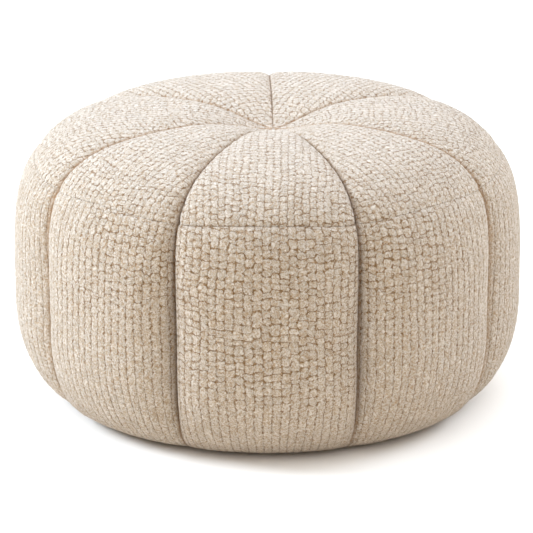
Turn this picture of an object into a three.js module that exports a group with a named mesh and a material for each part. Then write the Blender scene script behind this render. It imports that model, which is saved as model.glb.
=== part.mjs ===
// A round floor pouf in chunky boucle cloth. Seven gores meet at a dimple in the top. Each gore is a
// top wedge sewn to a side panel along a cross seam on the shoulder, and a flat base panel closes
// the bottom. The pouf is filled right through, so each panel is a solid that carries the filling
// behind it, back to the upright line under the dimple where all the gores meet.
// Millimetres, +Z up. The pouf stands on z = 0 with its middle at the origin, and faces -Y.

import * as THREE from "three";
import { mergeVertices } from "three/addons/utils/BufferGeometryUtils.js";

// Overall size
const WIDEST_RADIUS = 300;
const HEIGHT = 345;
const WIDEST_HEIGHT = 120;
const FLOOR_RADIUS = 207;

// Roundness of the two quarter outlines, above and below the widest height. 2 is an ellipse, and
// more is squarer. The first number belongs to the radius, the second to the height.
const CROWN_POWERS = { radius: 4.3, height: 4.8 };
const FOOT_POWERS = { radius: 2.7, height: 2 };

// Where the gores meet: a little to the right of the middle, at the bottom of a soft dimple
const HUB_X = 7;
const DIMPLE_DEPTH = 21;
const DIMPLE_RADIUS = 56;

// The seams between gores, as bearings in degrees from the front, and the gore after each seam
const GORES = [
  { name: "front", from: -22, to: 22 },
  { name: "front_right", from: 22, to: 65 },
  { name: "right", from: 65, to: 123 },
  { name: "back_right", from: 123, to: 180 },
  { name: "back_left", from: 180, to: 237 },
  { name: "left", from: 237, to: 295 },
  { name: "front_left", from: 295, to: 338 },
];

// How deep the seams between gores lie under the gores' middles, and how flat the gores are between
// them: a gore's surface falls away with this power of the way from its middle to its seam
const SIDE_SEAM_DEPTH = 24;
const TOP_SEAM_DEPTH = 6.5;
const GORE_POWER = 6;
// Nearer the hub than this the seams run out
const SEAM_RUN_OUT = 70;

// The cross seam between a top wedge and its side panel rises towards the gore's middle
const CROSS_SEAM_END_HEIGHT = 286.5;
const CROSS_SEAM_RISE = 6;
const CROSS_SEAM_DEPTH = 3;
const CROSS_SEAM_WIDTH = 7;
// It lies between these shares of the way from the hub to the floor
const CROSS_SEAM_SEARCH = { nearer: 0.25, further: 0.75, steps: 30 };

// The base panel is sewn inside the side panels' lower edge
const BASE_PANEL_RADIUS = 200;
const BASE_PANEL_THICKNESS = 3;

// Space between neighbouring pieces
const GAP = 0.3;

// Corners nearer each other than this are one corner
const MERGE_DISTANCE = 1e-3;

// Facets
const COLUMNS = 16;
const WEDGE_ROWS = 13;
const SIDE_ROWS = 18;
const BASE_SIDES = 72;

const BOUCLE_CREAM = new THREE.MeshStandardMaterial({ color: 0xdccdb9, roughness: 0.95, metalness: 0 });
const BOUCLE_SAND = new THREE.MeshStandardMaterial({ color: 0xd3c2ab, roughness: 0.95, metalness: 0 });
const BASE_CLOTH = new THREE.MeshStandardMaterial({ color: 0xb7a68e, roughness: 0.9, metalness: 0 });

const { lerp, degToRad } = THREE.MathUtils;

// The outline of a gore's middle, from the hub down to the floor: x is the radius, z the height.
class Meridian extends THREE.Curve {
  getPoint(share, point = new THREE.Vector3()) {
    return share < 0.5 ? this.crown(2 * share, point) : this.foot(2 * share - 1, point);
  }

  // The power on the share keeps the points of the flat crown about evenly spaced.
  crown(share, point) {
    const angle = (Math.PI / 2) * (1 - share ** (CROWN_POWERS.radius / 2));
    const across = Math.max(0, Math.cos(angle)) ** (2 / CROWN_POWERS.radius);
    const up = Math.sin(angle) ** (2 / CROWN_POWERS.height);
    return point.set(WIDEST_RADIUS * across, 0, lerp(WIDEST_HEIGHT, HEIGHT, up));
  }

  foot(share, point) {
    const angle = (Math.PI / 2) * share;
    const across = Math.max(0, Math.cos(angle)) ** (2 / FOOT_POWERS.radius);
    const down = Math.sin(angle) ** (2 / FOOT_POWERS.height);
    return point.set(lerp(FLOOR_RADIUS, WIDEST_RADIUS, across), 0, WIDEST_HEIGHT * (1 - down));
  }
}

const meridian = new Meridian();
meridian.arcLengthDivisions = 2000;

// Seams are deepest at the widest height, shallow on the crown, and gone at the floor and the hub.
function seamDepth(radius, height) {
  const above = (height - WIDEST_HEIGHT) / (HEIGHT - WIDEST_HEIGHT);
  if (above < 0) return SIDE_SEAM_DEPTH * (1 - (1 - height / WIDEST_HEIGHT) ** 2);
  return lerp(SIDE_SEAM_DEPTH, TOP_SEAM_DEPTH, above ** 2) * Math.min(1, radius / SEAM_RUN_OUT);
}

// A point of the cloth as radius (x) and height (z). Along runs from 0 at the hub to 1 at the
// floor, and across from -1 to 1 between the gore's two seams. Sunk is a further depth.
function clothPoint(along, across, sunk = 0) {
  const middle = meridian.getPointAt(along);
  const tangent = meridian.getTangentAt(along);
  const depth = sunk + seamDepth(middle.x, middle.z) * Math.abs(across) ** GORE_POWER;
  const radius = middle.x + tangent.z * depth;
  const dimple = DIMPLE_DEPTH * Math.exp(-((middle.x / DIMPLE_RADIUS) ** 2));
  return new THREE.Vector3(Math.max(0, radius), 0, Math.max(0, middle.z - tangent.x * depth - dimple));
}

// How far along its meridian the cloth crosses the cross seam, found by halving.
function crossSeamAt(across) {
  const height = CROSS_SEAM_END_HEIGHT + CROSS_SEAM_RISE * (1 - across ** 2);
  let { nearer, further } = CROSS_SEAM_SEARCH;
  for (let step = 0; step < CROSS_SEAM_SEARCH.steps; step++) {
    const between = (nearer + further) / 2;
    if (clothPoint(between, across).z > height) nearer = between;
    else further = between;
  }
  return nearer;
}

// The cloth is drawn in on both sides of the cross seam.
function nearCrossSeam(along, seam, across) {
  const distance = Math.abs(along - seam) * meridian.getLength();
  return clothPoint(along, across, CROSS_SEAM_DEPTH * Math.exp(-((distance / CROSS_SEAM_WIDTH) ** 2)));
}

// Slices of a wedge and of a side panel, each a closed outline of radius and height. Rows of
// facets are closer where the cloth bends more.
function wedgeSlice(across) {
  const seam = crossSeamAt(across);
  const outline = [];
  for (let row = 0; row <= WEDGE_ROWS; row++) {
    outline.push(nearCrossSeam(seam * Math.sin((Math.PI / 2) * (row / WEDGE_ROWS)), seam, across));
  }
  outline.at(-1).z += GAP / 2;
  outline.push(new THREE.Vector3(0, 0, CROSS_SEAM_END_HEIGHT + GAP / 2));
  return outline;
}

function sideSlice(across) {
  const seam = crossSeamAt(across);
  const outline = [];
  for (let row = 0; row <= SIDE_ROWS; row++) {
    const along = lerp(seam, 1, (1 - Math.cos(Math.PI * (row / SIDE_ROWS))) / 2);
    outline.push(nearCrossSeam(along, seam, across));
  }
  outline[0].z -= GAP / 2;
  outline.push(new THREE.Vector3(BASE_PANEL_RADIUS, 0, 0));
  outline.push(new THREE.Vector3(BASE_PANEL_RADIUS, 0, BASE_PANEL_THICKNESS + GAP));
  outline.push(new THREE.Vector3(0, 0, BASE_PANEL_THICKNESS + GAP));
  outline.push(new THREE.Vector3(0, 0, CROSS_SEAM_END_HEIGHT - GAP / 2));
  return outline;
}

// A direction on the floor plan from its bearing. Rings of the pouf are circles whose middles move
// from the hub's line to the pouf's own middle as they grow to the widest radius.
function direction(bearing) {
  const angle = degToRad(bearing);
  return new THREE.Vector3(Math.sin(angle), -Math.cos(angle), 0);
}

function place(slicePoint, bearing) {
  const point = direction(bearing).multiplyScalar(slicePoint.x);
  point.x += HUB_X * (1 - slicePoint.x / WIDEST_RADIUS);
  point.z = slicePoint.z;
  return point;
}

// A closed solid through slices that share their inner edge, with the end slices as flat walls.
function solidThrough(slices, flatSlice) {
  const size = slices[0].length;
  const triangles = [];
  for (let slice = 0; slice + 1 < slices.length; slice++) {
    for (let corner = 0; corner < size; corner++) {
      const next = (corner + 1) % size;
      const [a, b] = [slice * size + corner, slice * size + next];
      triangles.push([a, b, b + size], [a, b + size, a + size]);
    }
  }
  const last = (slices.length - 1) * size;
  for (const [a, b, c] of THREE.ShapeUtils.triangulateShape(flatSlice, [])) {
    triangles.push([a, b, c], [last + a, last + c, last + b]);
  }
  const geometry = new THREE.BufferGeometry().setFromPoints(slices.flat());
  geometry.setIndex(triangles.flat());
  return withoutSlivers(mergeVertices(geometry, MERGE_DISTANCE));
}

// Slices meet on the hub's line, so some triangles there have only two different corners.
function withoutSlivers(geometry) {
  const corners = geometry.index.array;
  const kept = [];
  for (let i = 0; i < corners.length; i += 3) {
    const [a, b, c] = corners.subarray(i, i + 3);
    if (a !== b && b !== c && c !== a) kept.push(a, b, c);
  }
  geometry.setIndex(kept);
  geometry.computeVertexNormals();
  return geometry;
}

// Moves a gore out from the hub, so that its walls stand half the gap inside its two seams.
function clearOfSeams(gore) {
  const [left, right] = [gore.from, gore.to].map((bearing) => {
    const seam = direction(bearing);
    seam.x -= HUB_X / WIDEST_RADIUS;
    return seam.normalize();
  });
  const sine = left.x * right.y - left.y * right.x;
  return left.clone().add(right).multiplyScalar(GAP / 2 / sine);
}

// Columns of facets are closer near the seams, where the gore turns in.
function panel(name, gore, slice, material) {
  const slices = [];
  for (let column = 0; column <= COLUMNS; column++) {
    const across = Math.sin((Math.PI / 2) * ((2 * column) / COLUMNS - 1));
    const bearing = lerp(gore.from, gore.to, (across + 1) / 2);
    slices.push(slice(across).map((point) => place(point, bearing)));
  }
  const wall = slice(-1).map((point) => new THREE.Vector2(point.x, point.z));
  const mesh = new THREE.Mesh(solidThrough(slices, wall), material);
  mesh.name = name;
  mesh.position.copy(clearOfSeams(gore));
  return mesh;
}

function basePanel() {
  const disc = new THREE.CylinderGeometry(
    BASE_PANEL_RADIUS - GAP, BASE_PANEL_RADIUS - GAP, BASE_PANEL_THICKNESS, BASE_SIDES);
  disc.rotateX(Math.PI / 2);
  const mesh = new THREE.Mesh(disc, BASE_CLOTH);
  mesh.name = "base_panel";
  mesh.position.set(HUB_X * (1 - BASE_PANEL_RADIUS / WIDEST_RADIUS), 0, BASE_PANEL_THICKNESS / 2);
  return mesh;
}

const pouf = new THREE.Group();
for (const gore of GORES) {
  pouf.add(panel(`top_panel_${gore.name}`, gore, wedgeSlice, BOUCLE_CREAM));
  pouf.add(panel(`side_panel_${gore.name}`, gore, sideSlice, BOUCLE_SAND));
}
pouf.add(basePanel());

// The gores are uneven, so the middle of the whole is a little off the middle of the rings.
const middle = new THREE.Box3().setFromObject(pouf).getCenter(new THREE.Vector3());
pouf.position.set(-middle.x, -middle.y, 0);

export default pouf;
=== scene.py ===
"""The looks of the round boucle floor pouf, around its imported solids. Metres, +Z up, front towards -Y.

Each solid panel is replaced by a fine mesh of the same form: the cloth is blown up against its seams
by a pressure simulation, and the boucle's nubs are raised on it in columns, as the cloth is woven.
"""

import collections
import math

import bpy
import numpy as np
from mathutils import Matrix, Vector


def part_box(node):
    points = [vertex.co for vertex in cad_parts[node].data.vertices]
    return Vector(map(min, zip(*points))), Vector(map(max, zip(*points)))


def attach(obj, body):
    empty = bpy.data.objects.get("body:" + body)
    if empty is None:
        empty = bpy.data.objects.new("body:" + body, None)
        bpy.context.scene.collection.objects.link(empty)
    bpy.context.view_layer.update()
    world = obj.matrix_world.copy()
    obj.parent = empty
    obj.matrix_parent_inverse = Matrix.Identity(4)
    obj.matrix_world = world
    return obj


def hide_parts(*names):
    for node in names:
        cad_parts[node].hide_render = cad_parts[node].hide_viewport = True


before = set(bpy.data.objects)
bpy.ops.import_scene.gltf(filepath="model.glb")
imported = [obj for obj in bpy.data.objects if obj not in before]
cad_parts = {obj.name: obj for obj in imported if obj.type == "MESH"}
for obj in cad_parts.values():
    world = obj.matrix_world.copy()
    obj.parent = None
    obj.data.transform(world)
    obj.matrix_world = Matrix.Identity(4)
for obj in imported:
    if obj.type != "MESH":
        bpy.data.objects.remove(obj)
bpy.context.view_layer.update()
MM = 0.001

# The pouf's form, as in its solids
WIDEST_RADIUS = 300 * MM
HEIGHT = 345 * MM
WIDEST_HEIGHT = 120 * MM
FLOOR_RADIUS = 207 * MM
CROWN_RADIUS_POWER = 4.3
CROWN_HEIGHT_POWER = 4.8
FOOT_RADIUS_POWER = 2.7
FOOT_HEIGHT_POWER = 2.0
# The hub, where the gores meet in a dimple, lies to the right of the widest ring's middle
HUB_X = 7 * MM
DIMPLE_DEPTH = 21 * MM
DIMPLE_RADIUS = 56 * MM
# How deep the seams are drawn in, and by which power of its place across the cloth falls towards them.
# Near the hub they run out.
SIDE_SEAM_DEPTH = 24 * MM
TOP_SEAM_DEPTH = 6.5 * MM
GORE_POWER = 6
SEAM_RUN_OUT = 70 * MM
# The cross seam's height at a gore's sides, and how much higher it is in the middle
CROSS_SEAM_END_HEIGHT = 286.5 * MM
CROSS_SEAM_RISE = 6 * MM
BASE_PANEL_RADIUS = 200 * MM
BASE_PANEL_THICKNESS = 3 * MM
# Between two pieces at their seam
GAP = 0.3 * MM

# The bearings of each gore's two seams, in degrees from the front. The front left gore is narrower than
# in the solids by 1.3 and 0.4 degrees at its two seams.
BACK = 180
Gore = collections.namedtuple("Gore", "name start end")
GORES = (
    Gore("front", -22.4, 22),
    Gore("front_right", 22, 65),
    Gore("right", 65, 123),
    Gore("back_right", 123, BACK),
    Gore("back_left", BACK, 237),
    Gore("left", 237, 296.3),
    Gore("front_left", 296.3, 337.6),
)

# At a side seam the cloth turns in sharply over its last few millimetres, and ends deeper than the
# solids do. The front gore is flatter than the others, and all are flatter on top, where the seam at
# the back is only this share as deep.
SIDE_ROUND = 1.0
FRONT_ROUND = 0.71
TOP_ROUND = 0.4
SIDE_SEAM_SHARE = 1.3
PULL_POWER = 36
BACK_SEAM_SHARE = 0.45
# A crease in the cloth along the cross seam, narrower than the solids' one. The front gore has it in
# full, and the others have this share of it.
CREASE_DEPTH = 3.0 * MM
CREASE_WIDTH = 4.0 * MM
CREASE_POWER = 1.5
OTHER_CREASE_SHARE = 0.5

# Each panel's nubs and noise are drawn from seeds of its own: a gore's are this far apart, and a top
# wedge's and a side panel's begin here
SEED_STEP = 100
TOP_SEED = 11
SIDE_SEED = 61

# The fine meshes
GRID = 1.48 * MM
# A side panel is this much wider than its arc, as it runs down into its seams
WIDENING = 1.2
# The curves that they are read from: points down a gore's middle, and places across it
MERIDIAN_POINTS = 4000
MERIDIAN_STEP = 0.5 * MM
SEAM_PLACES = 201
WIDTH_PLACES = 801
# How far apart, as shares of a panel, the points are whose difference gives the cloth's slope
SLOPE_STEP = 1e-3

# The cloth simulation: a coarse grid, set in by a little and blown out again against pinned seams
SIM_COLUMNS = 20
SIM_ROWS = 22
SIM_FRAMES = 16
SIM_INSET = 3 * MM
# The power by which the inset fades towards the seams
SIM_INSET_POWER = 4
# The cloth is cut this share larger than its seams, and may end at most the cap from the smooth form
SIM_SPARE = 0.01
SIM_PRESSURE = 20
SIM_CAP = 2.5 * MM
# Where the cloth ends inside the smooth form, only this share of it is kept
SIM_FALL_SHARE = 0.15
# The tip of a top panel is left out, since its grid's columns run together there
SIM_TIP = 0.04


def smooth_step(low, high, value):
    """Rises smoothly from 0 at low to 1 at high, which may be the smaller of the two."""
    share = np.clip((value - low) / (high - low), 0, 1)
    return share * share * (3 - 2 * share)


def mix(start, end, share):
    return start + (end - start) * share


# The middle of a gore


def meridian():
    """Radius and height at even steps down a gore's middle, from the hub to the floor."""
    share = np.linspace(0, 1, MERIDIAN_POINTS)
    crown = (np.pi / 2) * share ** (CROWN_RADIUS_POWER / 2)
    crown_radius = WIDEST_RADIUS * np.sin(crown) ** (2 / CROWN_RADIUS_POWER)
    crown_rise = np.maximum(0, np.cos(crown)) ** (2 / CROWN_HEIGHT_POWER)
    foot = (np.pi / 2) * share[1:]
    foot_spread = np.maximum(0, np.cos(foot)) ** (2 / FOOT_RADIUS_POWER)
    foot_drop = np.sin(foot) ** (2 / FOOT_HEIGHT_POWER)
    radius = np.concatenate([crown_radius, mix(FLOOR_RADIUS, WIDEST_RADIUS, foot_spread)])
    height = np.concatenate([mix(WIDEST_HEIGHT, HEIGHT, crown_rise), WIDEST_HEIGHT * (1 - foot_drop)])
    arc = np.concatenate([[0], np.cumsum(np.hypot(np.diff(radius), np.diff(height)))])
    even = np.linspace(0, arc[-1], int(arc[-1] / MERIDIAN_STEP))
    return even, np.interp(even, arc, radius), np.interp(even, arc, height)


ARC, RADIUS, RISE = meridian()
STEEPNESS_R = np.gradient(RADIUS, ARC)
STEEPNESS_Z = np.gradient(RISE, ARC)
FLOOR_ARC = ARC[-1]


def crown_share(height):
    """0 up to the widest level, rising to 1 at the crown."""
    return np.clip((height - WIDEST_HEIGHT) / (HEIGHT - WIDEST_HEIGHT), 0, 1)


def seam_depth(radius, height):
    upper = mix(SIDE_SEAM_DEPTH, TOP_SEAM_DEPTH, crown_share(height) ** 2)
    lower = SIDE_SEAM_DEPTH * (1 - (1 - np.clip(height / WIDEST_HEIGHT, 0, 1)) ** 2)
    depth = np.where(height > WIDEST_HEIGHT, upper, lower)
    return depth * np.minimum(1, radius / SEAM_RUN_OUT)


def ring_point(radius, height, bearing):
    """A point by its ring's radius: the rings' middles move from the hub's line as they grow."""
    x = HUB.x - HUB_X * radius / WIDEST_RADIUS + radius * np.sin(bearing)
    y = HUB.y - radius * np.cos(bearing)
    return np.stack([x, y, height], axis=-1)


def place_of_hub():
    """The hub's line, from the base panel's middle, which lies on the ring of its own radius."""
    low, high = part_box("base_panel")
    hub = (low + high) / 2
    hub.x += HUB_X * BASE_PANEL_RADIUS / WIDEST_RADIUS
    return hub


HUB = place_of_hub()


def bearing_of(gore, across):
    """The bearing in degrees of a place across a gore."""
    return mix(gore.start, gore.end, (across + 1) / 2)


def smooth_cloth(gore, along, across, crease=0.0):
    """Points of a gore's smooth cloth: along is metres from the hub, and across is -1 to 1."""
    radius = np.interp(along, ARC, RADIUS)
    height = np.interp(along, ARC, RISE)
    slope_r = np.interp(along, ARC, STEEPNESS_R)
    slope_z = np.interp(along, ARC, STEEPNESS_Z)
    on_top = crown_share(height) ** 2
    rounded = mix(FRONT_ROUND if gore.name == "front" else SIDE_ROUND, TOP_ROUND, on_top)
    pulled = mix(SIDE_SEAM_SHARE, 1.0, on_top) - rounded
    drawn_in = rounded * np.abs(across) ** GORE_POWER + pulled * np.abs(across) ** PULL_POWER
    at_back = np.where(across > 0, gore.end == BACK, gore.start == BACK)
    drawn_in = drawn_in * mix(1, BACK_SEAM_SHARE, at_back * on_top)
    depth = crease + seam_depth(radius, height) * drawn_in
    dimple = DIMPLE_DEPTH * np.exp(-((radius / DIMPLE_RADIUS) ** 2))
    bearing = np.radians(bearing_of(gore, across))
    sunk = np.maximum(0, radius + slope_z * depth)
    return ring_point(sunk, np.maximum(0, height - slope_r * depth - dimple), bearing)


def cross_seam_table():
    """How far from the hub the cloth meets the cross seam, for places across a gore."""
    across = np.linspace(-1, 1, SEAM_PLACES)
    # The upper half of the gore, without the part around the dimple
    upper = ARC[RISE > HEIGHT / 2]
    outer = upper[len(upper) // 3 :]
    meets = []
    for place in across:
        height = smooth_cloth(GORES[0], outer, np.full(len(outer), place))[:, 2]
        wanted = CROSS_SEAM_END_HEIGHT + CROSS_SEAM_RISE * (1 - place**2)
        meets.append(np.interp(-wanted, -height, outer))
    return across, np.array(meets)


SEAM_ACROSS, SEAM_ARC = cross_seam_table()


def cross_seam(across):
    return np.interp(across, SEAM_ACROSS, SEAM_ARC)


# Panels: rows run down from 0 to 1, and places across from -1 to 1


class Panel:
    """A top wedge or a side panel of one gore."""

    def __init__(self, kind, gore, seed):
        self.kind = kind
        self.gore = gore
        self.seed = seed
        self.name = f"{kind}_panel_{gore.name}"
        self.half_angle = math.radians(gore.end - gore.start) / 2
        self.first_row = SIM_TIP if kind == "top" else 0
        self.crease = 1.0 if gore.name == "front" else OTHER_CREASE_SHARE
        self.swell = None

    def along(self, down, across):
        seam = cross_seam(across)
        return down * seam if self.kind == "top" else mix(seam, FLOOR_ARC, down)

    def cloth(self, down, across):
        """The smooth cloth, creased at the cross seam and swollen by the simulation."""
        along = self.along(down, across)
        away = np.abs(along - cross_seam(across))
        crease = self.crease * CREASE_DEPTH * np.exp(-((away / CREASE_WIDTH) ** CREASE_POWER))
        points = smooth_cloth(self.gore, along, across, crease)
        if self.swell is not None:
            share = np.clip((down - self.first_row) / (1 - self.first_row), 0, 1)
            points = points + spline_grid(self.swell, share, column_share(across))
        return points

    def normals(self, down, across):
        up = np.clip(down - SLOPE_STEP, 0, 1)
        below = np.clip(down + SLOPE_STEP, 0, 1)
        left = np.clip(across - SLOPE_STEP, -1, 1)
        right = np.clip(across + SLOPE_STEP, -1, 1)
        downwards = self.cloth(below, across) - self.cloth(up, across)
        sideways = self.cloth(down, right) - self.cloth(down, left)
        normal = np.cross(downwards, sideways)
        return normal / np.maximum(np.linalg.norm(normal, axis=-1, keepdims=True), 1e-12)


def column_share(across):
    """Across as a share of the simulation's columns, which lie closer near the seams."""
    return np.arcsin(np.clip(across, -1, 1)) / np.pi + 0.5


def spline_weights(share, count):
    """The four grid lines around each place, and the weights that a cubic B-spline gives them."""
    place = share * (count - 1)
    first = np.clip(np.floor(place).astype(int), 0, count - 2)
    f = place - first
    weights = ((1 - f) ** 3, 3 * f**3 - 6 * f**2 + 4, -3 * f**3 + 3 * f**2 + 3 * f + 1, f**3)
    return first, [w / 6 for w in weights]


def spline_grid(grid, down, share):
    """A smooth field through a grid of vectors that is zero on its border."""
    rows, columns = grid.shape[:2]
    padded = np.pad(grid, ((1, 1), (1, 1), (0, 0)))
    padded[0] = -padded[2]
    padded[-1] = -padded[-3]
    padded[:, 0] = -padded[:, 2]
    padded[:, -1] = -padded[:, -3]
    row, row_weights = spline_weights(down, rows)
    column, column_weights = spline_weights(share, columns)
    field = 0
    for i, row_weight in enumerate(row_weights):
        for j, column_weight in enumerate(column_weights):
            field = field + padded[row + i, column + j] * (row_weight * column_weight)[..., None]
    return field


# The simulation


def simulation_mesh(panels):
    """One mesh of all the panels' coarse grids, set in between the seams, with the seams pinned."""
    row_places = np.linspace(0, 1, SIM_ROWS)
    column_turns = np.linspace(-np.pi / 2, np.pi / 2, SIM_COLUMNS)
    row, turn = np.meshgrid(row_places, column_turns, indexing="ij")
    across = np.sin(turn)
    inset = SIM_INSET * (1 - across**SIM_INSET_POWER) * (1 - (2 * row - 1) ** SIM_INSET_POWER)
    border = np.zeros(row.shape, bool)
    border[[0, -1]] = True
    border[:, [0, -1]] = True
    corner = np.arange(row.size).reshape(row.shape)
    quads = np.stack([corner[:-1, :-1], corner[1:, :-1], corner[1:, 1:], corner[:-1, 1:]], -1)
    smooth, outwards, start, faces = [], [], [], []
    for number, panel in enumerate(panels):
        down = mix(panel.first_row, 1, row)
        points = panel.cloth(down, across)
        smooth.append(points)
        outwards.append(panel.normals(down, across))
        start.append(points - outwards[-1] * inset[..., None])
        faces.append(quads.reshape(-1, 4) + number * row.size)
    mesh = bpy.data.meshes.new("swelling")
    mesh.from_pydata(np.concatenate(start).reshape(-1, 3).tolist(), [], np.concatenate(faces).tolist())
    skin = bpy.data.objects.new("swelling", mesh)
    bpy.context.scene.collection.objects.link(skin)
    pins = skin.vertex_groups.new(name="seams")
    pins.add(np.flatnonzero(np.tile(border.ravel(), len(panels))).tolist(), 1.0, "REPLACE")
    return skin, np.stack(smooth), np.stack(outwards)


def simulate(panels):
    """Gives each panel the way its cloth differs from the smooth form when it is under pressure."""
    skin, smooth, outwards = simulation_mesh(panels)
    cloth = skin.modifiers.new("Cloth", "CLOTH")
    cloth.settings.quality = 6
    cloth.settings.mass = 0.003
    cloth.settings.tension_stiffness = 5
    cloth.settings.compression_stiffness = 5
    cloth.settings.shear_stiffness = 2.5
    cloth.settings.bending_stiffness = 0.1
    cloth.settings.shrink_min = -SIM_SPARE
    cloth.settings.vertex_group_mass = "seams"
    cloth.settings.use_pressure = True
    cloth.settings.uniform_pressure_force = SIM_PRESSURE
    cloth.settings.effector_weights.gravity = 0
    cloth.collision_settings.use_collision = False
    scene = bpy.context.scene
    for number in range(1, SIM_FRAMES + 1):
        scene.frame_set(number)
    evaluated = skin.evaluated_get(bpy.context.evaluated_depsgraph_get())
    swollen = np.zeros(smooth.size)
    evaluated.data.vertices.foreach_get("co", swollen)
    swell = swollen.reshape(smooth.shape) - smooth
    fall = np.minimum(0, np.sum(swell * outwards, axis=-1, keepdims=True))
    swell = swell - (1 - SIM_FALL_SHARE) * fall * outwards
    distance = np.maximum(np.linalg.norm(swell, axis=-1, keepdims=True), 1e-9)
    swell = swell * SIM_CAP * np.tanh(distance / SIM_CAP) / distance
    for panel, offset in zip(panels, swell):
        panel.swell = offset
    bpy.data.objects.remove(skin)
    scene.frame_set(1)


# The boucle

# On the sides, columns of nubs are this far apart, and so are the nubs in a column
NUB_ACROSS = 10.4 * MM
NUB_ALONG = 9.4 * MM
NUB_RELIEF = 1.0 * MM
# On top, the nubs are smaller and lower by these shares
TOP_ACROSS_SHARE = 0.84
TOP_ALONG_SHARE = 0.88
TOP_RELIEF_SHARE = 0.7
# The height of a nub, as a share, that lies on the panel's smooth form
RELIEF_LEVEL = 0.8
# How square a nub's dome is
DOME_POWER = 2.7
# In nubs, how far each column's beat drifts from the last one's, and how far its breaks stray
BEAT_DRIFT = 0.32
BREAK_STRAY = 0.17
BREAK_STRAY_MOST = 0.36
# How deep breaks are cut, and how wide nubs are and how high: the most, and how much less the least is
CUT_MOST = 1.25
CUT_SPREAD = 0.5
WIDTH_MOST = 1.06
WIDTH_SPREAD = 0.16
CREST_SPREAD = 0.3
CREST_POWER = 1.6
# Breaks in a cord are this share as deep
CORD_BREAK_SHARE = 0.3
# From the first of these heights down to the second the nubs join into cords, on the front gore and on
# the others
CORDS_BELOW_FRONT = (130 * MM, 20 * MM)
CORDS_BELOW = (250 * MM, 60 * MM)
# Between these bearings from the front they do so at any height, up to where they fade out on top
CORDS_FROM = (35, 60)
CORDS_TO = (125, 95)
CORDS_UNDER = (320 * MM, 270 * MM)
# How far the columns and rows drift and jitter, and over cells of which size. The jitter is stronger
# in unruly places, and weaker across a cord.
DRIFT_ACROSS = (2.0 * MM, 42 * MM)
DRIFT_ALONG = (3.0 * MM, 45 * MM)
JITTER_ACROSS = (1.0 * MM, 9 * MM)
JITTER_ALONG = (2.0 * MM, 11 * MM)
UNRULY = (0.6, 33 * MM)
CORD_JITTER_SHARE = 0.4
# Lumps on the nubs, as shares of a nub's height and over cells of which size. They begin at the first
# of these heights up a nub's dome, and are full at the second.
LARGE_LUMPS = (0.2, 3.9 * MM)
SMALL_LUMPS = (0.16, 2.5 * MM)
LUMPS_ON = (0.1, 0.6)
# The rows of nubs begin this far outside a panel, so that drift leaves no cloth without them
ROWS_BEFORE = 20 * MM
# Towards any seam the nubs are flattened to a share of their height, and at it they are pinched to
# nothing, over a width that is so many times less at a side seam. Their slope is limited there.
FLATTENED_SHARE = 0.72
FLATTENED_OVER = (1 * MM, 9 * MM)
PINCHED_OVER = (0.1 * MM, 1.9 * MM)
SIDE_SEAM_TIGHTNESS = 2.5
STEEPEST_LIFT = 0.5
# How strongly, and how near a seam, the material draws the cloth as sewn down into a dark line: partly
# the sewn seam, partly painted shade
SEWN_AND_SHADE_STRENGTH = 0.4
SEWN_AND_SHADE_OVER = (1.6 * MM, 0.2 * MM)
# Where the cloth turns in to a seam, painted shade makes it sandier and darker, over these widths: on
# the sides, on the sides of the left and right gores, and on top at a seam that runs away from the front
# and one that runs aside
SEAM_SHADE_REACH = 3.0 * MM
SEAM_SHADE_REACH_OUTER = 13 * MM
SEAM_SHADE_REACH_TOP = (1.6 * MM, 5.0 * MM)
SEAM_SHADE_STRENGTH = 0.65
SEAM_SHADE_STRENGTH_OUTER = 1.2
# Between these heights painted light makes the yarn paler on top
PAINTED_TOP_LIGHT_ABOVE = (250 * MM, 335 * MM)
# How far a nub's drawn outline strays, and a cord's, in nubs
NUB_UNEVEN = 0.6
CORD_UNEVEN = 0.3
NOISE_CELLS = 64


def wander(x, y, size, cell, seed):
    """Smooth noise from about -size to size, over square cells."""
    lattice = np.random.default_rng(seed).uniform(-1, 1, (NOISE_CELLS, NOISE_CELLS))
    column = np.floor(x / cell).astype(int)
    row = np.floor(y / cell).astype(int)
    u = smooth_step(0, 1, x / cell - column)
    v = smooth_step(0, 1, y / cell - row)
    near = mix(lattice[row % NOISE_CELLS, column % NOISE_CELLS],
               lattice[row % NOISE_CELLS, (column + 1) % NOISE_CELLS], u)
    far = mix(lattice[(row + 1) % NOISE_CELLS, column % NOISE_CELLS],
              lattice[(row + 1) % NOISE_CELLS, (column + 1) % NOISE_CELLS], u)
    return size * mix(near, far, v)


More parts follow.
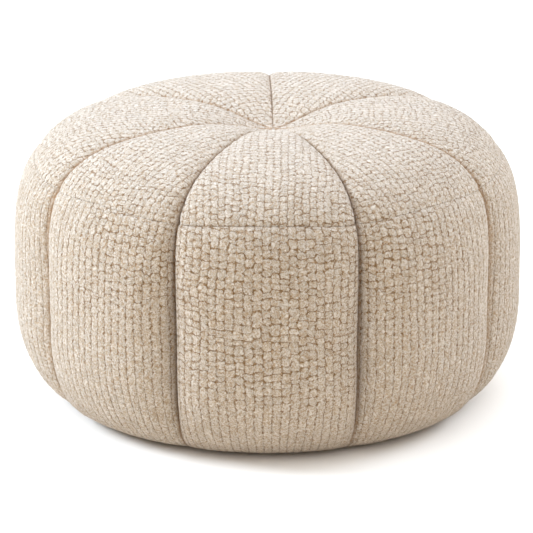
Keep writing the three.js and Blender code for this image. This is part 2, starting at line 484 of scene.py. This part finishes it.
def nubs(x, y, joined, seed):
    """The nubs' height, 0 to 1, at places on the flat cloth, and what the material draws them from:
    the place across the columns, the place along a column in nubs, and how deep a break is cut.

    Nubs fill each column, end to end, between breaks that are cut more or less deep. Each column has
    its own beat, so rows only roughly line up. Where joined is 1, a column is nearly one cord.
    """
    random = np.random.default_rng(seed)
    half_columns = int(np.abs(x).max() / NUB_ACROSS) + 2
    rows = int(y.max() / NUB_ALONG) + 6
    shape = (2 * half_columns + 1, rows)
    beat = np.cumsum(random.normal(0, BEAT_DRIFT, shape[0])) % 1
    strays = np.clip(random.normal(0, BREAK_STRAY, shape), -BREAK_STRAY_MOST, BREAK_STRAY_MOST)
    breaks = np.arange(rows) + strays
    cut = CUT_MOST - CUT_SPREAD * random.uniform(0, 1, shape) ** 2
    width = WIDTH_MOST - WIDTH_SPREAD * random.uniform(0, 1, shape)
    crest = 1 - CREST_SPREAD * random.uniform(0, 1, shape) ** CREST_POWER

    column_at = x / NUB_ACROSS
    nearest = np.rint(column_at).astype(int)
    column = np.clip(nearest + half_columns, 0, shape[0] - 1)
    # Two rows are spare before the cloth, and the rest after it, for breaks that stray
    row_at = y / NUB_ALONG - beat[column] + 2
    row = np.clip(np.floor(row_at).astype(int), 1, rows - 3)
    row = np.where(row_at < breaks[column, row], row - 1, row)
    row = np.where(row_at >= breaks[column, row + 1], row + 1, row)
    start, end = (column, row), (column, row + 1)
    share = np.clip((row_at - breaks[start]) / (breaks[end] - breaks[start]), 0, 1)
    u = np.abs(2 * (column_at - nearest)) / mix(width[start], width[end], share)
    v = np.abs(2 * share - 1)
    break_share = mix(1, CORD_BREAK_SHARE, joined)
    depth = np.where(share < 0.5, cut[start], cut[end]) * break_share
    dome = np.clip(1 - u**DOME_POWER - depth * v**DOME_POWER, 0, 1) ** 0.5
    drawn_cut = mix(cut[start], cut[end], share) * break_share
    drawn = {"column": column_at, "cord": row + share, "cut": drawn_cut}
    return dome, dome * mix(crest[start], crest[end], share), drawn


def arc_across(panel):
    """Places across a side panel at its widest, and how far the cloth has run at each."""
    places = np.linspace(-1, 1, WIDTH_PLACES)
    widest = np.interp(WIDEST_HEIGHT, RISE[::-1], ARC[::-1])
    ring = smooth_cloth(panel.gore, widest + 0 * places, places)
    length = np.concatenate([[0], np.cumsum(np.linalg.norm(np.diff(ring, axis=0), axis=1))])
    return places, length - length[-1] / 2


def cloth_place(panel, down, across):
    """Where points of a panel lie on its flat cloth, across and along its columns of nubs."""
    along = panel.along(down, across)
    if panel.kind == "side":
        return np.interp(across, *arc_across(panel)), along - SEAM_ARC.min()
    radius = np.interp(along, ARC, RADIUS)
    return across * panel.half_angle * radius / TOP_ACROSS_SHARE, along / TOP_ALONG_SHARE


def cord_share(panel, rise, across):
    """How far the nubs join into cords, from 0 where they stay apart to 1."""
    from_front = np.abs((bearing_of(panel.gore, across) + 180) % 360 - 180)
    around = smooth_step(*CORDS_FROM, from_front) * smooth_step(*CORDS_TO, from_front)
    around = around * smooth_step(*CORDS_UNDER, rise)
    below = CORDS_BELOW_FRONT if panel.gore.name == "front" else CORDS_BELOW
    return np.maximum(around, smooth_step(*below, rise))


def painted_seam_shade(panel, on_top, across, to_seam):
    """How much painted shade makes the cloth sandier where it turns in to a side seam."""
    outer = panel.gore.name in ("left", "right")
    aside = np.sin(np.radians(np.where(across > 0, panel.gore.end, panel.gore.start))) ** 2
    reach = mix(SEAM_SHADE_REACH_OUTER if outer else SEAM_SHADE_REACH, mix(*SEAM_SHADE_REACH_TOP, aside), on_top)
    return (SEAM_SHADE_STRENGTH_OUTER if outer else SEAM_SHADE_STRENGTH) * smooth_step(reach, 0, to_seam)


def boucle(panel, down, across):
    """Relief in metres for points of a panel, and the numbers that its material reads there."""
    x, y = cloth_place(panel, down, across)
    seed = panel.seed
    along = panel.along(down, across)
    rise = np.interp(along, ARC, RISE)
    joined = cord_share(panel, rise, across)
    unruly = 1 + wander(x, y, *UNRULY, seed + 8)
    warp_x = wander(x, y, *DRIFT_ACROSS, seed + 1)
    jitter = unruly * mix(1, CORD_JITTER_SHARE, joined)
    warp_x = warp_x + jitter * wander(x, y, *JITTER_ACROSS, seed + 2)
    warp_y = wander(x, y, *DRIFT_ALONG, seed + 3)
    warp_y = warp_y + unruly * wander(x, y, *JITTER_ALONG, seed + 4)
    dome, height, drawn = nubs(x + warp_x, y + warp_y + ROWS_BEFORE, joined, seed + 5)
    lumps = wander(x, y, *LARGE_LUMPS, seed + 6) + wander(x, y, *SMALL_LUMPS, seed + 7)
    relief = height + lumps * smooth_step(*LUMPS_ON, dome)

    to_seam = (1 - np.abs(across)) * panel.half_angle * np.interp(along, ARC, RADIUS)
    to_cross = np.abs(along - cross_seam(across))
    to_any = np.minimum(to_seam, to_cross)
    flattened = mix(FLATTENED_SHARE, 1.0, smooth_step(*FLATTENED_OVER, to_any))
    tightened = np.minimum(SIDE_SEAM_TIGHTNESS * to_seam, to_cross)
    on_top = crown_share(rise) ** 2
    tall = NUB_RELIEF * mix(1, TOP_RELIEF_SHARE, on_top) * flattened
    tall = tall * smooth_step(*PINCHED_OVER, tightened)
    lift = np.minimum((relief - RELIEF_LEVEL) * tall, STEEPEST_LIFT * to_seam)
    # A dark line at each seam: partly the sewn seam, partly painted shade
    drawn["sewn"] = SEWN_AND_SHADE_STRENGTH * panel.crease * smooth_step(*SEWN_AND_SHADE_OVER, tightened)
    # Painted shade: sandier, darker cloth where it turns in to a seam
    drawn["sunk"] = painted_seam_shade(panel, on_top, across, to_seam)
    # Painted light: the yarn paler towards the top
    drawn["painted_top_light"] = smooth_step(*PAINTED_TOP_LIGHT_ABOVE, rise)
    drawn["stray"] = mix(NUB_UNEVEN, CORD_UNEVEN, joined)
    return lift, drawn


# Meshes

# Under the pouf a side panel reaches in to the base panel's rim, and turns up behind it
TURNED_BEHIND = 3 * MM
UNDERSIDE_RINGS = (
    (BASE_PANEL_RADIUS, 0),
    (BASE_PANEL_RADIUS - TURNED_BEHIND, BASE_PANEL_THICKNESS + GAP),
)


def mesh_object(name, points, triangles, material, **attributes):
    """A smooth mesh object from arrays, with named numbers on its points."""
    mesh = bpy.data.meshes.new(name)
    mesh.vertices.add(len(points))
    mesh.vertices.foreach_set("co", points.astype(np.float32).ravel())
    mesh.loops.add(3 * len(triangles))
    mesh.loops.foreach_set("vertex_index", triangles.astype(np.int32).ravel())
    mesh.polygons.add(len(triangles))
    mesh.polygons.foreach_set("loop_start", np.arange(0, 3 * len(triangles), 3, dtype=np.int32))
    mesh.polygons.foreach_set("use_smooth", np.full(len(triangles), True))
    mesh.update(calc_edges=True)
    for label, values in attributes.items():
        layer = mesh.attributes.new(label, "FLOAT", "POINT")
        layer.data.foreach_set("value", values.astype(np.float32))
    mesh.materials.append(material)
    made = bpy.data.objects.new(name, mesh)
    bpy.context.scene.collection.objects.link(made)
    return made


def fan(starts, ends, point):
    """Triangles from the edges of a line of points to one point."""
    return np.stack([starts, np.full(len(starts), point), ends], -1)


def zip_rows(upper, lower, upper_start, lower_start):
    """Triangles between two rows of points, each given by its places across."""
    upper_middles = (upper[1:] + upper[:-1]) / 2
    lower_middles = (lower[1:] + lower[:-1]) / 2
    i = np.arange(len(upper_middles))
    k = np.searchsorted(lower_middles, upper_middles)
    above = np.stack([upper_start + i, lower_start + k, upper_start + i + 1], -1)
    j = np.arange(len(lower_middles))
    k = np.searchsorted(upper_middles, lower_middles, side="right")
    below = np.stack([lower_start + j, lower_start + j + 1, upper_start + k], -1)
    return np.concatenate([above, below])


def skin_rows(panel):
    """Rows of places across a panel, as many in each as its width needs."""
    length = panel.along(1.0, 0.0) - panel.along(0.0, 0.0)
    count = int(math.ceil(length / GRID))
    places, lengths = arc_across(panel)
    rows = []
    for down in np.linspace(0, 1, count + 1):
        width = 2 * panel.half_angle * np.interp(panel.along(down, 0.0), ARC, RADIUS)
        if panel.kind == "side":
            columns = int(math.ceil(width / GRID * WIDENING))
            even = np.interp(np.linspace(lengths[0], lengths[-1], columns + 1), lengths, places)
        else:
            columns = max(1, int(math.ceil(width / GRID)))
            even = np.linspace(-1, 1, columns + 1) if down > 0 else np.zeros(1)
        rows.append((down, even))
    return rows


def build_skin(panel, rows):
    """Points of a panel's outer side with its nubs, and the numbers that its material reads there."""
    across = np.concatenate([places for _, places in rows])
    down = np.concatenate([np.full(len(places), row) for row, places in rows])
    lift, drawn = boucle(panel, down, across)
    points = panel.cloth(down, across) + panel.normals(down, across) * lift[:, None]
    points[:, 2] = np.maximum(points[:, 2], 0)
    return within_seams(panel.gore, points), drawn


def build_panel(panel, material):
    """A closed mesh: the nubbed skin outside, and plain walls back to the hub's line."""
    rows = skin_rows(panel)
    points, drawn = build_skin(panel, rows)
    on_skin = len(points)
    starts = np.concatenate([[0], np.cumsum([len(places) for _, places in rows])])
    triangles = []
    for number in range(len(rows) - 1):
        upper, lower = rows[number][1], rows[number + 1][1]
        triangles.append(zip_rows(upper, lower, starts[number], starts[number + 1]))

    first = np.arange(starts[0], starts[1])
    last = np.arange(starts[-2], starts[-1])
    left = starts[:-1]
    right = starts[1:] - 1
    if panel.kind == "side":
        bearing = np.radians(bearing_of(panel.gore, rows[-1][1]))
        for radius, level in UNDERSIDE_RINGS:
            ring = np.arange(len(points), len(points) + len(last))
            circle = ring_point(np.full(len(last), radius), np.full(len(last), level), bearing)
            points = np.concatenate([points, circle])
            triangles.append(np.stack([last[:-1], ring[:-1], last[1:]], -1))
            triangles.append(np.stack([last[1:], ring[:-1], ring[1:]], -1))
            last = ring
            left = np.append(left, ring[0])
            right = np.append(right, ring[-1])
    top_of_walls = CROSS_SEAM_END_HEIGHT + (GAP if panel.kind == "top" else -GAP) / 2
    apex = len(points)
    points = np.concatenate([points, [[HUB.x, HUB.y, top_of_walls]]])
    triangles.append(fan(left[:-1], left[1:], apex))
    triangles.append(fan(right[1:], right[:-1], apex))
    if panel.kind == "top":
        triangles.append(fan(last[:-1], last[1:], apex))
    else:
        foot = len(points)
        points = np.concatenate([points, [[HUB.x, HUB.y, BASE_PANEL_THICKNESS + GAP]]])
        triangles.append(fan(last[:-1], last[1:], foot))
        triangles.append(np.array([[left[-1], apex, foot], [right[-1], foot, apex]]))
        triangles.append(fan(first[1:], first[:-1], apex))
    points = points + clear_of_seams(panel.gore)
    walls = np.zeros(len(points) - on_skin)
    drawn = {label: np.append(values, walls) for label, values in drawn.items()}
    cover = panel.name.replace("panel", "cover")
    return mesh_object(cover, points, np.concatenate(triangles), material, **drawn)


def seam_directions(gore):
    """The level directions in which a gore's two seams leave the hub's line."""
    bearing = np.radians([gore.start, gore.end])
    seams = np.stack([np.sin(bearing) - HUB_X / WIDEST_RADIUS, -np.cos(bearing), 0 * bearing], -1)
    return seams / np.linalg.norm(seams, axis=-1, keepdims=True)


def within_seams(gore, points):
    """Presses cloth that swells past a seam's upright plane back against it."""
    hub = np.array([HUB.x, HUB.y, 0])
    for seam, side in zip(seam_directions(gore), (1, -1)):
        inwards = side * np.array([-seam[1], seam[0], 0])
        past = np.minimum(0, (points - hub) @ inwards)
        points = points - past[:, None] * inwards
    return points


def clear_of_seams(gore):
    """Moves a gore out from the hub, so that its walls stand half the gap inside its two seams."""
    seams = seam_directions(gore)
    sine = np.cross(seams[0], seams[1])[2]
    return (seams[0] + seams[1]) * GAP / 2 / sine


# Materials

ROUGHNESS = 0.9
SPECULAR = 0.15
SHEEN = 0.25
SHEEN_ROUGHNESS = 0.42

# The yarn from the sandy ground between its nubs, darkened there with painted shade, to the lightest
# fibres on them
YARN_AND_CREASE_SHADE_COLOURS = (
    (0.0, (0.225, 0.118, 0.042)),
    (0.35, (0.395, 0.245, 0.125)),
    (0.65, (0.555, 0.425, 0.295)),
    (1.0, (0.69, 0.58, 0.465)),
)
# The painted shade in the seams: the colour that the yarn turns to there, and how far
SEAM_SHADE_COLOUR = (0.38, 0.19, 0.065)
SEAM_SHADE_SHARE = 0.8
# Painted light on top: the colour that the yarn turns to there, and how far: in the creases, and how
# much more on the nubs
TOP_LIGHT_COLOUR = (0.88, 0.84, 0.77)
TOP_LIGHT_SHARE = 0.05
TOP_LIGHT_NUB_SHARE = 0.08
# The darkest nub's brightness
DARKEST_NUB = 0.92
# How many cells of noise a metre has, for the yarn's curl and for the tufts of its fibres
CURL_SCALE = 230
TUFT_SCALE = 400
TUFT_DETAIL = 2
TUFT_DISTORTION = 1
# How square the nubs' outlines are, and how soft their edges, the strands' and the fibres'
OUTLINE_POWER = 3.2
OUTLINE_EDGE = 0.25
STRAND_EDGE = 0.055
FIBRE_EDGE = (0.37, 0.63)
# How much of the yarn's lightness comes from the nub, the strands on it and the fibres
NUB_LIGHT = 0.36
STRAND_LIGHT = 0.22
FIBRE_LIGHT = 0.42
# How much each of them adds to the bump, in millimetres, and how much less there is on top
NUB_BUMP = 0.7
STRAND_BUMP = 0.45
FIBRE_BUMP = 0.85
TOP_BUMP_LOSS = 0.3

CANVAS_COLOURS = ((0.42, 0.34, 0.25, 1), (0.34, 0.27, 0.19, 1))
CANVAS_SCALE = 900
CANVAS_BUMP = 0.4 * MM
CANVAS_BUMP_STRENGTH = 0.4


def new_material(name):
    material = bpy.data.materials.new(name)
    material.use_nodes = True
    shader = material.node_tree.nodes["Principled BSDF"]
    shader.inputs["Roughness"].default_value = ROUGHNESS
    shader.inputs["Specular IOR Level"].default_value = SPECULAR
    return material, material.node_tree, shader


def node(tree, kind, **settings):
    made = tree.nodes.new(kind)
    for key, value in settings.items():
        setattr(made, key, value)
    return made


def set_ramp(ramp, stops):
    """Colour stops of a ramp, each a place and a colour."""
    elements = ramp.color_ramp.elements
    while len(elements) < len(stops):
        elements.new(0.5)
    for element, (place, colour) in zip(elements, stops):
        element.position = place
        element.color = (*colour, 1)


def math_node(tree, operation, *values):
    """A maths node; each value is a number or another node's output."""
    made = tree.nodes.new("ShaderNodeMath")
    made.operation = operation
    for socket, value in zip(made.inputs, values):
        if isinstance(value, (int, float)):
            socket.default_value = value
        else:
            tree.links.new(value, socket)
    return made.outputs["Value"]


def attribute(tree, name):
    return node(tree, "ShaderNodeAttribute", attribute_name=name).outputs["Fac"]


def texture(tree, kind, vector, scale):
    made = node(tree, kind)
    made.inputs["Scale"].default_value = scale
    tree.links.new(vector, made.inputs["Vector"])
    return made


def soft_edge(tree, value, low, high):
    """0 up to the low value, rising smoothly to 1 at the high one."""
    edge = node(tree, "ShaderNodeMapRange", interpolation_type="SMOOTHSTEP")
    edge.inputs["From Min"].default_value = low
    edge.inputs["From Max"].default_value = high
    tree.links.new(value, edge.inputs["Value"])
    return edge.outputs["Result"]


def blend(tree, share, start, end):
    """A colour between another node's output and a fixed colour."""
    made = node(tree, "ShaderNodeMix", data_type="VECTOR")
    tree.links.new(share, made.inputs["Factor"])
    tree.links.new(start, made.inputs["A"])
    made.inputs["B"].default_value = end
    return made.outputs["Result"]


def add_bump(tree, shader, height, strength, distance):
    bump = node(tree, "ShaderNodeBump")
    bump.inputs["Strength"].default_value = strength
    bump.inputs["Distance"].default_value = distance
    tree.links.new(height, bump.inputs["Height"])
    tree.links.new(bump.outputs["Normal"], shader.inputs["Normal"])


def split_noise(tree, colour):
    """The three numbers of a noise's colour, each about 0 instead of 0.5."""
    parts = node(tree, "ShaderNodeSeparateXYZ")
    tree.links.new(colour, parts.inputs["Vector"])
    return [math_node(tree, "SUBTRACT", parts.outputs[axis], 0.5) for axis in "XYZ"]


def nub_shape(tree, aside, onward):
    """How far inside its nub a point is, 0 in the creases to 1 in the middle, and the nub's tone.

    The yarn's curl, as two numbers about 0, makes the nubs' outlines uneven.
    """
    stray = attribute(tree, "stray")
    column = math_node(tree, "MULTIPLY_ADD", aside, stray, attribute(tree, "column"))
    cord = math_node(tree, "MULTIPLY_ADD", onward, stray, attribute(tree, "cord"))
    number = math_node(tree, "ROUND", column)
    u = math_node(tree, "ABSOLUTE", math_node(tree, "SUBTRACT", column, number))
    v = math_node(tree, "ABSOLUTE", math_node(tree, "SUBTRACT", math_node(tree, "FRACT", cord), 0.5))
    across = math_node(tree, "POWER", math_node(tree, "MULTIPLY", u, 2.0), OUTLINE_POWER)
    along = math_node(tree, "POWER", math_node(tree, "MULTIPLY", v, 2.0), OUTLINE_POWER)
    cut = math_node(tree, "MULTIPLY", along, attribute(tree, "cut"))
    inside = math_node(tree, "SUBTRACT", math_node(tree, "SUBTRACT", 1.0, across), cut)
    # At a seam the cloth is drawn as a crease: partly the sewn seam, partly painted shade
    inside = math_node(tree, "SUBTRACT", inside, attribute(tree, "sewn"))
    which = node(tree, "ShaderNodeCombineXYZ")
    tree.links.new(number, which.inputs["X"])
    tree.links.new(math_node(tree, "FLOOR", cord), which.inputs["Y"])
    tone = node(tree, "ShaderNodeTexWhiteNoise", noise_dimensions="2D")
    tree.links.new(which.outputs["Vector"], tone.inputs["Vector"])
    return soft_edge(tree, inside, 0, OUTLINE_EDGE), tone.outputs["Value"]


def yarn_strands(tree, *curls):
    """1 on the strands of curled yarn, and 0 in the thin gaps that wind between them."""
    gaps = [math_node(tree, "ABSOLUTE", curl) for curl in curls]
    return soft_edge(tree, math_node(tree, "MINIMUM", *gaps), 0, STRAND_EDGE)


def yarn_colour(tree, depth, tone):
    """The yarn's colour from how light it is: sandy with painted shade in the seams, paler with painted
    light on top, and each nub's own.
    """
    ramp = node(tree, "ShaderNodeValToRGB")
    set_ramp(ramp, YARN_AND_CREASE_SHADE_COLOURS)
    tree.links.new(depth, ramp.inputs["Fac"])
    # Painted shade in the seams
    sunk = math_node(tree, "MULTIPLY", attribute(tree, "sunk"), SEAM_SHADE_SHARE)
    colour = blend(tree, sunk, ramp.outputs["Color"], SEAM_SHADE_COLOUR)
    # Painted light on top, stronger on the nubs as a painted highlight
    top_light_amount = math_node(tree, "MULTIPLY_ADD", depth, TOP_LIGHT_NUB_SHARE, TOP_LIGHT_SHARE)
    painted_top_light = math_node(tree, "MULTIPLY", attribute(tree, "painted_top_light"), top_light_amount)
    colour = blend(tree, painted_top_light, colour, TOP_LIGHT_COLOUR)
    shaded = node(tree, "ShaderNodeVectorMath", operation="SCALE")
    tree.links.new(colour, shaded.inputs[0])
    brightness = math_node(tree, "MULTIPLY_ADD", tone, 1 - DARKEST_NUB, DARKEST_NUB)
    tree.links.new(brightness, shaded.inputs["Scale"])
    return shaded.outputs["Vector"]


def boucle_material():
    """Cream loops on a sandy ground, with painted shade in its creases: each nub is a knot of yarn, a
    little lighter or darker.
    """
    material, tree, shader = new_material("boucle_wool")
    shader.inputs["Sheen Weight"].default_value = SHEEN
    shader.inputs["Sheen Roughness"].default_value = SHEEN_ROUGHNESS
    shader.inputs["Sheen Tint"].default_value = (1, 1, 1, 1)
    place = node(tree, "ShaderNodeTexCoord").outputs["Object"]
    curl = texture(tree, "ShaderNodeTexNoise", place, CURL_SCALE).outputs["Color"]
    curl_x, curl_y, curl_z = split_noise(tree, curl)
    inside, tone = nub_shape(tree, curl_x, curl_y)
    strand = yarn_strands(tree, curl_x, curl_z)
    tufts = texture(tree, "ShaderNodeTexNoise", place, TUFT_SCALE)
    tufts.inputs["Detail"].default_value = TUFT_DETAIL
    tufts.inputs["Distortion"].default_value = TUFT_DISTORTION
    fibre = soft_edge(tree, tufts.outputs["Fac"], *FIBRE_EDGE)

    # Darkest in the creases between nubs and in the gaps between strands: partly the ground's own sandy
    # colour, partly painted shade
    on_nub = math_node(tree, "MULTIPLY_ADD", strand, STRAND_LIGHT, NUB_LIGHT)
    depth = math_node(tree, "MULTIPLY", inside, on_nub)
    depth = math_node(tree, "MULTIPLY_ADD", fibre, FIBRE_LIGHT, depth)
    tree.links.new(yarn_colour(tree, depth, tone), shader.inputs["Base Color"])

    height = math_node(tree, "MULTIPLY", inside, NUB_BUMP)
    height = math_node(tree, "MULTIPLY_ADD", strand, STRAND_BUMP, height)
    height = math_node(tree, "MULTIPLY_ADD", fibre, FIBRE_BUMP, height)
    flatter = math_node(tree, "MULTIPLY_ADD", attribute(tree, "painted_top_light"), -TOP_BUMP_LOSS, 1.0)
    height = math_node(tree, "MULTIPLY", height, flatter)
    add_bump(tree, shader, height, 1.0, 1.0 * MM)
    return material


def canvas_material():
    """A plain weave for the hidden base panel."""
    material, tree, shader = new_material("base_canvas")
    place = node(tree, "ShaderNodeTexCoord").outputs["Object"]
    weave = texture(tree, "ShaderNodeTexChecker", place, CANVAS_SCALE)
    weave.inputs["Color1"].default_value = CANVAS_COLOURS[0]
    weave.inputs["Color2"].default_value = CANVAS_COLOURS[1]
    tree.links.new(weave.outputs["Color"], shader.inputs["Base Color"])
    add_bump(tree, shader, weave.outputs["Fac"], CANVAS_BUMP_STRENGTH, CANVAS_BUMP)
    return material


# The base panel

BASE_SIDES = 360
# Its profile in millimetres, from the middle out and over the rim: radius, and height above the floor
BASE_PROFILE = (
    (0, 0),
    (60, 0),
    (120, 0),
    (170, 0),
    (184, 0),
    (187, 0.3),
    (189, 0.8),
    (191, 0.3),
    (194, 0),
    (198, 0),
    (199.4, 0.5),
    (199.4, 1.2),
    (198, 2.2),
    (196.4, 2.9),
)
# The stitches lie in the profile's groove. Each stands out of it by a thread where its wave is above
# this level, out of -1 to 1.
STITCH_RADIUS = 189 * MM
STITCHES = 90
THREAD = 0.6 * MM
STITCH_FROM = -0.5


def build_base(material):
    """The round base cloth: a flat disc with a stitched line inside its rim."""
    bearing = np.linspace(0, 2 * np.pi, BASE_SIDES, endpoint=False)
    stitch = THREAD * (np.sin(bearing * STITCHES) > STITCH_FROM)
    middle = HUB.x - HUB_X * BASE_PANEL_RADIUS / WIDEST_RADIUS
    rings = np.array(BASE_PROFILE) * MM
    points = [[middle, HUB.y, 0]]
    for radius, level in rings[1:]:
        in_groove = abs(radius - STITCH_RADIUS) < 1 * MM
        for angle, thread in zip(bearing, stitch):
            points.append([
                middle + radius * math.sin(angle),
                HUB.y - radius * math.cos(angle),
                level - (thread if in_groove else 0)])
    points.append([middle, HUB.y, rings[-1][1]])
    side = np.arange(BASE_SIDES)
    after = (side + 1) % BASE_SIDES
    triangles = [np.stack([np.zeros(BASE_SIDES, int), 1 + side, 1 + after], -1)]
    for ring in range(len(rings) - 2):
        a = 1 + ring * BASE_SIDES
        b = a + BASE_SIDES
        triangles.append(np.stack([a + side, b + side, a + after], -1))
        triangles.append(np.stack([a + after, b + side, b + after], -1))
    a = 1 + (len(rings) - 2) * BASE_SIDES
    triangles.append(fan(a + side, a + after, len(points) - 1))
    flipped = np.concatenate(triangles)[:, ::-1]
    return mesh_object("base_cover", np.array(points), flipped, material)


# Camera, lights and floor

SKY_HORIZON = (0.33, 0.28, 0.22)
SKY_OVERHEAD = (1.49, 1.61, 1.79)
# The sky is at its brightest above this height on a ball of radius 1
SKY_BRIGHT_FROM = 0.65

LAMP_COLOUR = (0.84, 1.01, 1.27)
COOL_COLOUR = (0.45, 0.85, 1.25)
LAMP_TARGET = (0, 0, 0.15)
# Each lamp's name, place, width, power and colour
LAMPS = (
    ("key", (-2.9, 0.2, 1.7), 1.3, 108, LAMP_COLOUR),
    ("rim", (2.7, 1.2, 1.7), 1.4, 58, LAMP_COLOUR),
    ("cool_side", (-2.6, 1.2, 1.2), 1.2, 18, COOL_COLOUR),
)

FLOOR_COLOUR = (0.92, 0.85, 0.75)
FLOOR_REACH = 30
# A hair under the pouf, so that no two faces lie in one plane
FLOOR_LEVEL = -0.3 * MM

CAMERA_ELEVATION = math.radians(18.6)
CAMERA_DISTANCE = 4.8
CAMERA_TARGET = (-1 * MM, 0, 150.7 * MM)
CAMERA_LENS = 269.8
CAMERA_NEAR = 0.1
CAMERA_FAR = 100


def add_camera():
    data = bpy.data.cameras.new("camera")
    data.lens = CAMERA_LENS
    data.clip_start = CAMERA_NEAR
    data.clip_end = CAMERA_FAR
    camera = bpy.data.objects.new("camera", data)
    bpy.context.scene.collection.objects.link(camera)
    back = CAMERA_DISTANCE * math.cos(CAMERA_ELEVATION)
    up = CAMERA_DISTANCE * math.sin(CAMERA_ELEVATION)
    ring_middle = HUB.x - HUB_X
    camera.location = (ring_middle + CAMERA_TARGET[0], HUB.y - back, CAMERA_TARGET[2] + up)
    camera.rotation_euler = (math.pi / 2 - CAMERA_ELEVATION, 0, 0)
    bpy.context.scene.camera = camera


def add_light(name, location, size, power, colour):
    """A round area lamp, turned to the pouf's middle."""
    data = bpy.data.lights.new(name, "AREA")
    data.shape = "DISK"
    data.size = size
    data.energy = power
    data.color = colour
    light = bpy.data.objects.new(name, data)
    light.location = location
    bpy.context.scene.collection.objects.link(light)
    towards = np.array(LAMP_TARGET) - np.array(location)
    yaw = math.atan2(towards[1], towards[0]) - math.pi / 2
    pitch = math.atan2(towards[2], math.hypot(towards[0], towards[1])) + math.pi / 2
    light.rotation_euler = (pitch, 0, yaw)


def add_floor():
    material, _, shader = new_material("studio_floor")
    shader.inputs["Base Color"].default_value = (*FLOOR_COLOUR, 1)
    square = ((-1, -1), (1, -1), (1, 1), (-1, 1))
    corners = np.array([(FLOOR_REACH * x, FLOOR_REACH * y, FLOOR_LEVEL) for x, y in square])
    floor = mesh_object("studio_floor", corners, np.array([[0, 1, 2], [0, 2, 3]]), material)


def add_sky():
    """A white studio: bright overhead, and dim round the horizon."""
    world = bpy.data.worlds.new("studio")
    world.use_nodes = True
    tree = world.node_tree
    links = tree.links
    place = node(tree, "ShaderNodeTexCoord")
    parts = node(tree, "ShaderNodeSeparateXYZ")
    links.new(place.outputs["Generated"], parts.inputs["Vector"])
    colour = node(tree, "ShaderNodeMix", data_type="VECTOR")
    colour.inputs["A"].default_value = SKY_HORIZON
    colour.inputs["B"].default_value = SKY_OVERHEAD
    links.new(soft_edge(tree, parts.outputs["Z"], 0, SKY_BRIGHT_FROM), colour.inputs["Factor"])
    links.new(colour.outputs["Result"], tree.nodes["Background"].inputs["Color"])
    bpy.context.scene.world = world


def add_studio():
    bpy.context.scene.view_settings.view_transform = "Standard"
    add_sky()
    for lamp in LAMPS:
        add_light(*lamp)
    add_floor()


def make_panels():
    """A top wedge and a side panel for each gore, each with a seed of its own."""
    made = []
    for number, gore in enumerate(GORES):
        made.append(Panel("top", gore, SEED_STEP * number + TOP_SEED))
        made.append(Panel("side", gore, SEED_STEP * number + SIDE_SEED))
    return made


add_camera()
add_studio()
panels = make_panels()
simulate(panels)
boucle_wool = boucle_material()
for panel in panels:
    cover = build_panel(panel, boucle_wool)
    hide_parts(panel.name)
    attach(cover, "root")
base = build_base(canvas_material())
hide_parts("base_panel")
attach(base, "root")
